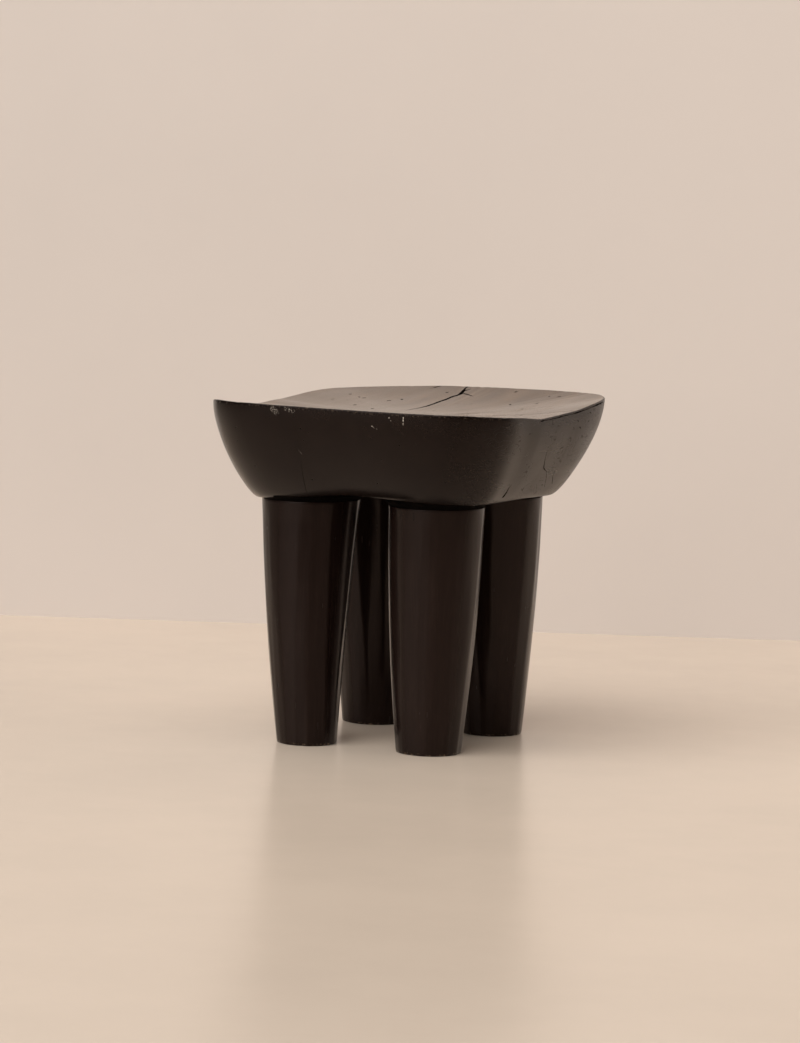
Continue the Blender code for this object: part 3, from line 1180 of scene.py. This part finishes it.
    def top_crack(self, name: str, steps: Sequence[Point], depth: float) -> DryingCrack:
        """Lay out a crack on the dished top.

        Args:
            name: What the crack is called.
            steps: The crack's place across the seat and along it, and its width there.
            depth: How deep it goes.

        Returns:
            The crack.
        """
        path = tuple(self.on_top(x, y) for x, y, _ in steps)
        widths = tuple(width for _, _, width in steps)
        return DryingCrack(name, path, widths, depth, UP, self.top_jagged)

    def side_crack(self, name: str, steps: Sequence[Point], jagged: float) -> DryingCrack:
        """Lay out a crack on the right flank.

        Args:
            name: What the crack is called.
            steps: The crack's direction in degrees, its share of the way down, and its width there.
            jagged: How far its sides wander.

        Returns:
            The crack.
        """
        path = tuple(self.on_flank(degrees, share) for degrees, share, _ in steps)
        widths = tuple(width for _, _, width in steps)
        return DryingCrack(name, path, widths, self.side_crack_depth, self.right_outward, jagged)

    def top_cracks(self) -> list[DryingCrack]:
        """Lay out the splits in the top, from the rear end forwards.

        Returns:
            The cracks.
        """
        main = [
            (-0.0262, 0.1935, 0.0020),
            (-0.0250, 0.185, 0.0026),
            (-0.0210, 0.172, 0.0036),
            (-0.0180, 0.158, 0.0044),
            (-0.0190, 0.150, 0.0042),
            (-0.0210, 0.145, 0.0040),
            (-0.0210, 0.126, 0.0040),
            (-0.0220, 0.109, 0.0042),
            (-0.0212, 0.080, 0.0036),
            (-0.0250, 0.059, 0.0022),
            (-0.0270, 0.039, 0.0004),
        ]
        fork_behind = [(-0.0220, 0.174, 0.0024), (-0.0190, 0.180, 0.0020), (-0.0165, 0.187, 0.0008)]
        fork_ahead = [(-0.0160, 0.162, 0.0030), (-0.0060, 0.157, 0.0026), (0.0030, 0.149, 0.0006)]
        short = [(-0.0605, 0.193, 0.0030), (-0.0640, 0.186, 0.0034), (-0.0685, 0.180, 0.0006)]
        return [
            self.top_crack("main_crack", main, 0.018),
            self.top_crack("fork_behind", fork_behind, 0.008),
            self.top_crack("fork_ahead", fork_ahead, 0.006),
            self.top_crack("short_crack", short, 0.008),
        ]

    def pits(self) -> list[DryingCrack]:
        """Lay out the small pits of the worn top and of the right flank.

        Returns:
            The pits, as short cracks.
        """
        on_top = [(-0.137, 0.117), (-0.121, 0.108), (-0.114, 0.106), (-0.095, 0.048), (-0.082, 0.107)]
        on_top += [(-0.072, 0.119), (-0.064, 0.031), (-0.037, 0.164), (0.065, 0.117), (0.042, 0.180)]
        on_top += [(0.096, 0.083), (0.126, 0.018), (0.090, 0.166), (0.103, 0.165), (0.094, 0.126)]
        on_side = [(13, 0.15), (18, 0.16), (22, 0.25), (15, 0.09), (24, 0.05)]
        half_length, width, tip_width, depth = 0.003, 0.0034, 0.0008, 0.0016
        longer, leaning = Unevenness(0.01, 0.002), Unevenness(0.008, 0.004)
        pits = []
        for number, (x, y) in enumerate(on_top):
            half = half_length + longer.at(Vector((x, y, 0.0)))
            lean = leaning.at(Vector((y, x, 0.5)))
            front, rear = (x - lean, y - half, tip_width), (x + lean / 2, y + half, tip_width)
            pits.append(self.top_crack(f"top_pit_{number}", [front, (x, y, width), rear], depth))
        for number, (degrees, share) in enumerate(on_side):
            steps = [(degrees, share, 0.0012), (degrees + 1, share + 0.02, 0.0007)]
            pits.append(self.side_crack(f"side_pit_{number}", steps, 0.0004))
        return [replace(pit, cuts=12) for pit in pits]

    def side_cracks(self) -> list[DryingCrack]:
        """Lay out the splits in the front and the right side.

        Returns:
            The cracks.
        """
        front = DryingCrack(
            name="front_crack",
            path=((-0.0415, -0.178, 0.320), (-0.0450, -0.166, 0.302), (-0.0490, -0.148, 0.279)),
            widths=(0.0003, 0.0006, 0.0007),
            depth=self.side_crack_depth,
            outward=(0.0, -0.85, -0.5),
            jagged=0.0003,
        )
        # The split under the rim, which opens and closes along its length
        share, width, change, pace = 0.008, 0.0009, 0.0004, 0.42
        rim = [(degrees, share, width + change * math.cos(pace * degrees)) for degrees in range(-15, 40, 5)]
        rim_split = self.side_crack("rim_split", rim, 0.0006)
        check = [(-2, 0.29, 0.0003), (-4, 0.33, 0.0007), (-2.5, 0.41, 0.0006), (0, 0.49, 0.0014)]
        check += [(4.5, 0.53, 0.0006), (8, 0.61, 0.0008), (12, 0.73, 0.0004)]
        short = [(12, 0.53, 0.0003), (14, 0.61, 0.0008), (18, 0.70, 0.0004)]
        low = [(30, 0.70, 0.0003), (27, 0.75, 0.0006), (26, 0.82, 0.0004)]
        knot = [(-23, 0.80, 0.0036), (-22.5, 0.74, 0.0034), (-22.5, 0.66, 0.0012), (-21.5, 0.61, 0.0003)]
        return [
            front,
            replace(rim_split, depth=0.0020, outward=(1.0, 0.0, 0.2), cuts=160),
            self.side_crack("right_check", check, 0.0005),
            self.side_crack("short_check", short, 0.0004),
            self.side_crack("low_check", low, 0.0003),
            self.side_crack("knot", knot, 0.0008),
        ]

    def note_edges(self, seat: bpy.types.Object) -> None:
        """Keep how near each point is to the rim, and where the top is polished by use.

        Args:
            seat: The seat, as it stands.
        """
        edges = []
        polish = []
        for vert in seat.data.vertices:
            angle = math.atan2(vert.co.y, vert.co.x)
            reach = math.hypot(vert.co.x, vert.co.y) - self.outline(0.0, self.rim_squareness, angle)
            level = self.joinery.level_height(vert.co)
            rim = self.rim_z(angle)
            edges.append(fade(math.hypot(reach, level - rim + self.rim_rounding), self.rim_wear))
            share = 1 + (reach + self.rim_rounding) / self.outline(0.0, self.rim_squareness, angle)
            dish = between(self.dish_z, rim, share**2)
            polish.append(1.0 if share <= 1.0 and abs(level - dish) < self.polish_depth else 0.0)
        keep(seat, EDGE_ATTRIBUTE, edges)
        keep(seat, POLISH_ATTRIBUTE, polish)

    def build(self) -> bpy.types.Object:
        """Model the seat.

        Returns:
            The seat with its bosses, mortises and cracks.
        """
        seat = self.carve()
        two_finishes(seat)
        cut(seat, [self.boss(leg) for leg in self.legs], "UNION")
        tools = [self.mortise(leg) for leg in self.legs]
        tools += [crack.cutter() for crack in self.top_cracks() + self.pits() + self.side_cracks()]
        cut(seat, tools, "DIFFERENCE")
        self.note_edges(seat)
        shade(seat)
        return seat

    def dress(self, seat: bpy.types.Object) -> None:
        """Finish the seat in blackened wood, with the marks that it has picked up.

        Args:
            seat: The seat.
        """
        front = Side.FRONT
        marks = (
            Mark(front, (-0.0680, -0.195, 0.3725), (-0.0630, -0.195, 0.3690), 0.0080, 0.60),
            Mark(front, (-0.0520, -0.195, 0.3735), (-0.0430, -0.195, 0.3715), 0.0060, 0.64),
            Mark(front, (0.0888, -0.194, 0.3735), (0.0884, -0.193, 0.3655), 0.0012, 0.46),
            Mark(front, (0.0720, -0.195, 0.3725), (0.0745, -0.195, 0.3690), 0.0018, 0.58),
            Mark(front, (0.0520, -0.194, 0.3615), (0.0570, -0.194, 0.3590), 0.0018, 0.54),
            Mark(front, (-0.0430, -0.181, 0.3300), (-0.0400, -0.180, 0.3250), 0.0010, 0.56),
        )
        finish = BlackenedWood(
            name="blackened seat",
            grain=Grain.ALONG_SEAT,
            shift=(0.31, 0.17, 0.05),
            marks=marks,
            stain=(0.0050, 0.0028, 0.0023),
            heart=(0.0100, 0.0060, 0.0048),
            figured=0.7,
            chipped=0.10,
        )
        seat.data.materials[0] = finish.material()
        # the cracks' dark finish, which on the bosses under the seat is painted shade
        seat.data.materials[1] = SplitWoodAndPaintedShade().material()


def keep(obj: bpy.types.Object, name: str, values: Sequence[float]) -> None:
    """Keep a number for each point of a mesh, which the finish reads."""
    attribute = obj.data.attributes.new(name, "FLOAT", "POINT")
    attribute.data.foreach_set("value", values)


def shade(obj: bpy.types.Object) -> None:
    """Shade a piece smooth, with its hard edges kept."""
    activate(obj)
    bpy.ops.object.shade_smooth_by_angle(angle=math.radians(HARD_EDGE_DEGREES))


@dataclass(frozen=True)
class RoundUnevenness:
    """An unevenness that goes round a leg and up it."""

    around: float  # how often it comes and goes across the leg, about
    along: float  # the same from the foot to the shoulder
    height: float  # either way, at the most

    def at(self, key: Vector, side: Vector, share: float) -> float:
        """Give how far it rises.

        Args:
            key: A place of the leg's own, so that no two legs are alike.
            side: Direction out of the leg's axis.
            share: How far from the foot to the shoulder.

        Returns:
            The rise.
        """
        place = Vector((side.x * self.around, side.y * self.around, share * self.along))
        return self.height * noise.noise(key + place)


@dataclass
class Leg:
    """One stout tapered leg with the tenon that goes up into the seat."""

    corner: str
    place: tuple[float, float]  # of its axis at the shoulder
    top_radius: float
    foot_radius: float
    entasis: float  # swelling half way up
    drift: tuple[float, float]  # how far it wanders between its shoulder and its foot
    shift: Point  # of its grain
    bow: tuple[float, float] = (0.0, 0.0)  # how far its middle stands off a straight axis
    joinery: Joinery = JOINERY
    foot_rounding: float = 0.0012
    foot_wear: float = 0.007  # how far from the edge of the foot its wear reaches
    flats: int = 13  # left by the plane
    flatness: float = 0.45  # how flat they are, from 0 to 1
    flat_wander: RoundUnevenness = RoundUnevenness(1.5, 1.2, 0.6)  # in widths of a flat
    lumps: RoundUnevenness = RoundUnevenness(2.2, 1.1, 0.0006)
    ripples: RoundUnevenness = RoundUnevenness(6.0, 3.0, 0.0003)
    chips: Chips = Chips(1 / 140, 0.25, 0.0016)
    chips_reach: float = 0.005  # up from the floor
    cut_core: float = 0.6  # share of the foot's radius that stays as it was turned
    cut_end: float = 0.995  # share of the way up where hand cutting stops
    cut_onset: float = 12.0  # how fast it comes in below the shoulder
    key_scale: float = 40.0  # sets the legs' patterns apart
    foot_shares: tuple[float, ...] = (0.3, 0.6, 0.85)  # of the radius, for the rings of the foot
    shoulder_shares: tuple[float, ...] = (0.3, 0.6)  # of the way in to the tenon
    segments: int = 128
    rings: int = 84

    def radius(self, share: float) -> float:
        """Give the radius at a share of the way from the foot to the shoulder."""
        return between(self.foot_radius, self.top_radius, share) + self.entasis * 4 * share * (1 - share)

    def profile(self) -> list[tuple[float, float]]:
        """Lay out the leg's outline from its foot up to the end of its tenon.

        Returns:
            Radius and height of each ring.
        """
        joinery = self.joinery
        top = joinery.shoulder_z
        edge = joinery.edge_rounding
        foot = self.foot_rounding
        points = [(self.foot_radius * share, 0.0) for share in self.foot_shares]
        points += rounded(self.foot_radius - foot, foot, foot, -90, 0)
        for ring in range(1, self.rings):
            share = ring / self.rings
            points.append((self.radius(share), share * top))
        points += rounded(self.top_radius - edge, top - edge, edge, 0, 90)
        tenon = joinery.tenon_radius
        chamfer = joinery.tenon_chamfer
        end = tenon + joinery.tenon_spread
        points += [(between(self.top_radius, tenon, share), top) for share in self.shoulder_shares]
        points += [(tenon, top), (end, joinery.tenon_z - chamfer), (end - chamfer, joinery.tenon_z)]
        return points

    def hand_cut(self, leg: bpy.types.Object) -> None:
        """Give the turned shape the long flats of a hand-cut leg and a chipped foot.

        Args:
            leg: The leg as it was turned, about the Z axis.
        """
        key = Vector(self.shift) * self.key_scale
        half_flat = math.pi / self.flats
        for vert in leg.data.vertices:
            share = vert.co.z / self.joinery.shoulder_z
            out = Vector((vert.co.x, vert.co.y, 0.0))
            if share > self.cut_end or out.length < self.cut_core * self.foot_radius:
                continue
            onset = min(1.0, self.cut_onset * (1 - share))
            side = out.normalized()
            lumps = self.lumps.at(key, side, share) + self.ripples.at(key, side, share)
            turns = math.atan2(side.y, side.x) / math.tau
            place = (turns * self.flats + self.flat_wander.at(key, side, share)) % 1.0 - 0.5
            sag = math.cos(half_flat) / math.cos(2 * half_flat * place) - 1
            flat = out.length * sag * self.flatness
            chip = self.chips.at(vert.co + key * self.chips.spacing) * fade(vert.co.z, self.chips_reach)
            vert.co += side * ((lumps + flat) * onset - chip)

    def kerf(self) -> bpy.types.Object:
        """Model the saw kerf that the wedge opens, a little wider than the wedge.

        Returns:
            The closed cutter, right across the tenon.
        """
        joinery = self.joinery
        tip = joinery.tenon_z + joinery.wedge_proud - joinery.wedge_length - joinery.fit
        top = joinery.tenon_z + joinery.margin
        slope = (joinery.wedge_thick_end - joinery.wedge_thin_end) / joinery.wedge_length
        tip_width = joinery.wedge_thin_end + 2 * joinery.fit
        top_width = tip_width + slope * (top - tip)
        across = 2 * (joinery.tenon_radius + joinery.tenon_spread + joinery.margin)
        deselect_all()
        middle = (*self.place, (tip + top) / 2)
        bpy.ops.mesh.primitive_cube_add(size=1.0, location=middle, scale=(across, tip_width, top - tip))
        block = bpy.context.object
        bpy.ops.object.transform_apply(location=True, rotation=False, scale=True)
        bpy.ops.object.mode_set(mode="EDIT")
        shape = bmesh.from_edit_mesh(block.data)
        for vert in shape.verts:
            vert.select_set(vert.co.z > middle[2])
        shape.select_flush(True)
        bmesh.update_edit_mesh(block.data)
        bpy.ops.transform.resize(value=(1.0, top_width / tip_width, 1.0), center_override=middle)
        bpy.ops.object.mode_set(mode="OBJECT")
        joinery.tilt(block)
        return block

    def note_edges(self, leg: bpy.types.Object) -> None:
        """Keep how near each point is to the edge of the foot, for the wear of the finish.

        Args:
            leg: The leg, about the Z axis.
        """
        values = []
        for vert in leg.data.vertices:
            reach = math.hypot(vert.co.x, vert.co.y) - self.foot_radius
            values.append(fade(math.hypot(reach, vert.co.z), self.foot_wear))
        keep(leg, EDGE_ATTRIBUTE, values)

    def build(self) -> bpy.types.Object:
        """Model the leg.

        Returns:
            The leg with its tenon, in its place.
        """
        leg = turned(f"carved_leg_{self.corner}", self.profile(), self.segments)
        self.hand_cut(leg)
        self.note_edges(leg)
        drift, bow = Vector((*self.drift, 0.0)), Vector((*self.bow, 0.0))
        for vert in leg.data.vertices:
            share = min(1.0, vert.co.z / self.joinery.shoulder_z)
            vert.co += drift * (1 - share) + bow * 4 * share * (1 - share)
        leg.data.transform(Matrix.Translation((*self.place, 0.0)))
        self.joinery.tilt(leg)
        cut(leg, [self.kerf()], "DIFFERENCE")
        shade(leg)
        return leg

    def dress(self, leg: bpy.types.Object) -> None:
        """Finish the leg in blackened wood.

        Args:
            leg: The leg.
        """
        finish = BlackenedWood(f"blackened leg {self.corner}", Grain.UP_LEG, self.shift)
        leg.data.materials.clear()
        leg.data.materials.append(finish.material())


@dataclass
class PhotoCamera:
    """A camera that stands where the photograph was taken from."""

    azimuth: float = 26.801  # degrees round from the front, towards +X
    elevation: float = 6.577  # degrees above the level
    roll: float = 1.837  # degrees
    distance: float = 4.9889  # from the middle of the stool
    middle_z: float = 0.200
    aim_right: float = -0.00690  # of the picture's middle from the middle of the stool
    aim_up: float = 0.03994
    focal_share: float = 4500 / 1043  # of the picture's long side
    sensor: float = 36.0
    far: float = 50.0  # as far as it sees

    def axes(self) -> tuple[Vector, Vector, Vector]:
        """Work out which way the camera looks, before the roll.

        Returns:
            The directions to the right, up and ahead.
        """
        turn, lift = math.radians(self.azimuth), math.radians(self.elevation)
        right = Vector((math.cos(turn), math.sin(turn), 0.0))
        ahead = Vector((-math.sin(turn) * math.cos(lift), math.cos(turn) * math.cos(lift), -math.sin(lift)))
        return right, right.cross(ahead), ahead

    def place(self) -> None:
        """Add the camera and make it the scene's."""
        right, up, ahead = self.axes()
        roll = math.radians(self.roll)
        picture_right = right * math.cos(roll) + up * math.sin(roll)
        picture_up = up * math.cos(roll) - right * math.sin(roll)
        middle = Vector((0.0, 0.0, self.middle_z))
        eye = middle - ahead * self.distance
        aim = (middle + picture_right * self.aim_right + picture_up * self.aim_up - eye).normalized()
        side = (picture_right - aim * picture_right.dot(aim)).normalized()
        turned_axes = Matrix((side, side.cross(aim), -aim)).transposed()
        data = bpy.data.cameras.new("photo_camera")
        data.sensor_width = self.sensor
        data.lens = self.sensor * self.focal_share
        data.clip_end = self.far
        camera = bpy.data.objects.new("photo_camera", data)
        camera.matrix_world = Matrix.Translation(eye) @ turned_axes.to_4x4()
        bpy.context.scene.collection.objects.link(camera)
        bpy.context.scene.camera = camera


class Lamp(Enum):
    """Kinds of lamp, by Blender's names."""

    PANEL = "AREA"
    SUN = "SUN"


@dataclass(frozen=True)
class Light:
    """A soft light that faces the stool."""

    name: str
    kind: Lamp
    place: Point  # to the right of the camera's view, ahead along it and up, from the stool
    size: float  # side of a panel, or the angle that a far light fills
    power: float  # watts of a panel, or watts on a square metre
    colour: Colour


@dataclass
class Studio:
    """A pale floor, a pale wall behind the stool and soft light."""

    camera: PhotoCamera
    floor_colour: Colour = (0.660, 0.560, 0.470)
    floor_cloud: Pattern = Pattern(3.0, 5.0, 0.6)
    floor_roughness: float = 0.20
    floor_specular: float = 0.22
    wall_colour: Colour = (0.732, 0.666, 0.624)
    wall_cloud: Pattern = Pattern(1.5, 4.0, 0.55)
    wall_roughness: float = 0.8
    wall_specular: float = 0.1
    sky_colour: Colour = (1.0, 0.86, 0.74)
    sky_strength: float = 0.08
    wall_distance: float = 0.924
    wall_left: float = 1.0  # how far the wall goes past the stool
    floor_size: float = 12.0
    lights: tuple[Light, ...] = (
        Light("window", Lamp.SUN, (-2.9, -3.3, 3.4), math.radians(70), 1.75, (1.0, 0.97, 0.93)),
        Light("overhead", Lamp.PANEL, (-1.0, -1.4, 4.2), 4.0, 132.0, (1.0, 0.96, 0.91)),
        Light("side", Lamp.PANEL, (2.4, -0.6, 1.9), 1.4, 9.0, (1.0, 0.93, 0.86)),
    )

    def _plane(self, name: str, matrix: Matrix, material: bpy.types.Material) -> None:
        """Add a flat surface and keep it out of the object.

        Args:
            name: What the surface is called.
            matrix: Its place and turn.
            material: Its finish.
        """
        deselect_all()
        bpy.ops.mesh.primitive_plane_add(size=self.floor_size)
        plane = bpy.context.object
        plane.name = name
        plane.data.transform(matrix)
        plane.data.materials.append(material)

    def floor_material(self) -> bpy.types.Material:
        """Make the polished plaster floor.

        Returns:
            The material.
        """
        graph = Graph("pale floor")
        cloud = graph.noise(graph.place(), self.floor_cloud)
        darker = tuple(part * 0.98 for part in self.floor_colour)
        lighter = tuple(part * 1.02 for part in self.floor_colour)
        colour = graph.blend(cloud.rises(0.3, 0.7), darker, lighter)
        roughness = self.floor_roughness + cloud * 0.10
        sockets = {"Base Color": colour, "Roughness": roughness, "Specular IOR Level": self.floor_specular}
        return graph.finish(graph.node("ShaderNodeBsdfPrincipled", {}, sockets))

    def wall_material(self) -> bpy.types.Material:
        """Make the plain wall, which isn't there when it is seen from behind.

        Returns:
            The material.
        """
        graph = Graph("pale wall")
        cloud = graph.noise(graph.place(), self.wall_cloud)
        darker = tuple(part * 0.97 for part in self.wall_colour)
        colour = graph.blend(cloud.rises(0.3, 0.7), darker, self.wall_colour)
        sockets = {
            "Base Color": colour,
            "Roughness": self.wall_roughness,
            "Specular IOR Level": self.wall_specular,
        }
        plaster = graph.node("ShaderNodeBsdfPrincipled", {}, sockets)
        clear = graph.node("ShaderNodeBsdfTransparent", {}, {})
        behind = graph.node("ShaderNodeNewGeometry", {}, {}).outputs["Backfacing"]
        shaders = {0: behind, 1: plaster.outputs[0], 2: clear.outputs[0]}
        return graph.finish(graph.node("ShaderNodeMixShader", {}, shaders))

    def _axes(self) -> Matrix:
        """Work out the level directions that the camera sees.

        Returns:
            To the right, ahead and up, as columns.
        """
        right, _, ahead = self.camera.axes()
        level = Vector((ahead.x, ahead.y, 0.0)).normalized()
        return Matrix((right, level, Vector(UP))).transposed()

    def _hang(self, light: Light) -> None:
        """Add a lamp that faces the middle of the stool.

        Args:
            light: What the lamp is like and where it hangs.
        """
        where = self._axes() @ Vector(light.place)
        data = bpy.data.lights.new(light.name, light.kind.value)
        if light.kind is Lamp.SUN:
            data.angle = light.size
        else:
            data.size = light.size
        data.energy = light.power
        data.color = light.colour
        lamp = bpy.data.objects.new(light.name, data)
        aim = Vector((0.0, 0.0, self.camera.middle_z)) - where
        lamp.matrix_world = Matrix.Translation(where) @ aim.to_track_quat("-Z", "Y").to_matrix().to_4x4()
        bpy.context.scene.collection.objects.link(lamp)

    def build(self) -> None:
        """Set up the floor, the wall, the lamps and the sky."""
        right, level, up = self._axes().col
        half = self.floor_size / 2
        middle = right * (half - self.wall_left) + level * self.wall_distance + up * half
        facing = Matrix((right, up, -level)).transposed().to_4x4()
        self._plane("floor", Matrix.Identity(4), self.floor_material())
        self._plane("wall", Matrix.Translation(middle) @ facing, self.wall_material())
        for light in self.lights:
            self._hang(light)
        world = bpy.data.worlds.new("sky")
        world.use_nodes = True
        background = world.node_tree.nodes["Background"]
        background.inputs["Color"].default_value = (*self.sky_colour, 1.0)
        background.inputs["Strength"].default_value = self.sky_strength
        bpy.context.scene.world = world
        bpy.context.scene.view_settings.view_transform = "Standard"


def legs() -> list[Leg]:
    """Lay out the four legs, each cut a little differently by hand.

    Returns:
        The legs, the front ones first.
    """
    return [
        Leg(
            corner="front_left",
            place=(-0.0773, -0.0820),
            top_radius=0.0546,
            foot_radius=0.0333,
            entasis=0.0008,
            drift=(0.0137, -0.0206),
            shift=(0.13, 0.42, 0.05),
            bow=(-0.0023, -0.0011),
        ),
        Leg(
            corner="front_right",
            place=(0.0754, -0.0792),
            top_radius=0.0525,
            foot_radius=0.0358,
            entasis=0.0031,
            drift=(-0.0006, -0.0015),
            shift=(0.57, 0.21, 0.33),
        ),
        Leg(
            corner="rear_left",
            place=(-0.0760, 0.0758),
            top_radius=0.0540,
            foot_radius=0.0357,
            entasis=0.0024,
            drift=(-0.0006, 0.0064),
            shift=(0.29, 0.74, 0.61),
        ),
        Leg(
            corner="rear_right",
            place=(0.0698, 0.0747),
            top_radius=0.0539,
            foot_radius=0.0353,
            entasis=0.0029,
            drift=(-0.0024, 0.0151),
            shift=(0.83, 0.11, 0.47),
        ),
    ]


def hand_over(piece: bpy.types.Object, node: str) -> None:
    """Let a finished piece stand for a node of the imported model.

    Args:
        piece: The piece.
        node: The node's name.
    """
    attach(piece, BODY)
    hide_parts(node)
    LOG.info("%s stands for %s with %d faces", piece.name, node, len(piece.data.polygons))


def dress_wedges() -> None:
    """Finish the hidden wedges, which keep their solids, in bare wood."""
    material = BareWood().material()
    for name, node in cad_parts.items():
        if name.startswith("wedge_"):
            node.data.materials.clear()
            node.data.materials.append(material)
            LOG.info("%s keeps its solid", name)


def write_sizes() -> None:
    """Bring the view layer up to date.
    """
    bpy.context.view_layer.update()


def main() -> None:
    """Build and dress the stool, piece by piece."""
    logging.basicConfig(level=logging.INFO, format="%(message)s")
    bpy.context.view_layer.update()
    camera = PhotoCamera()
    camera.place()
    Studio(camera).build()
    four_legs = legs()
    block = SeatBlock(JOINERY, four_legs)
    seat = block.build()
    block.dress(seat)
    hand_over(seat, "seat")
    for leg in four_legs:
        piece = leg.build()
        leg.dress(piece)
        hand_over(piece, f"leg_{leg.corner}")
    dress_wedges()
    write_sizes()


if __name__ == "__main__":
    main()
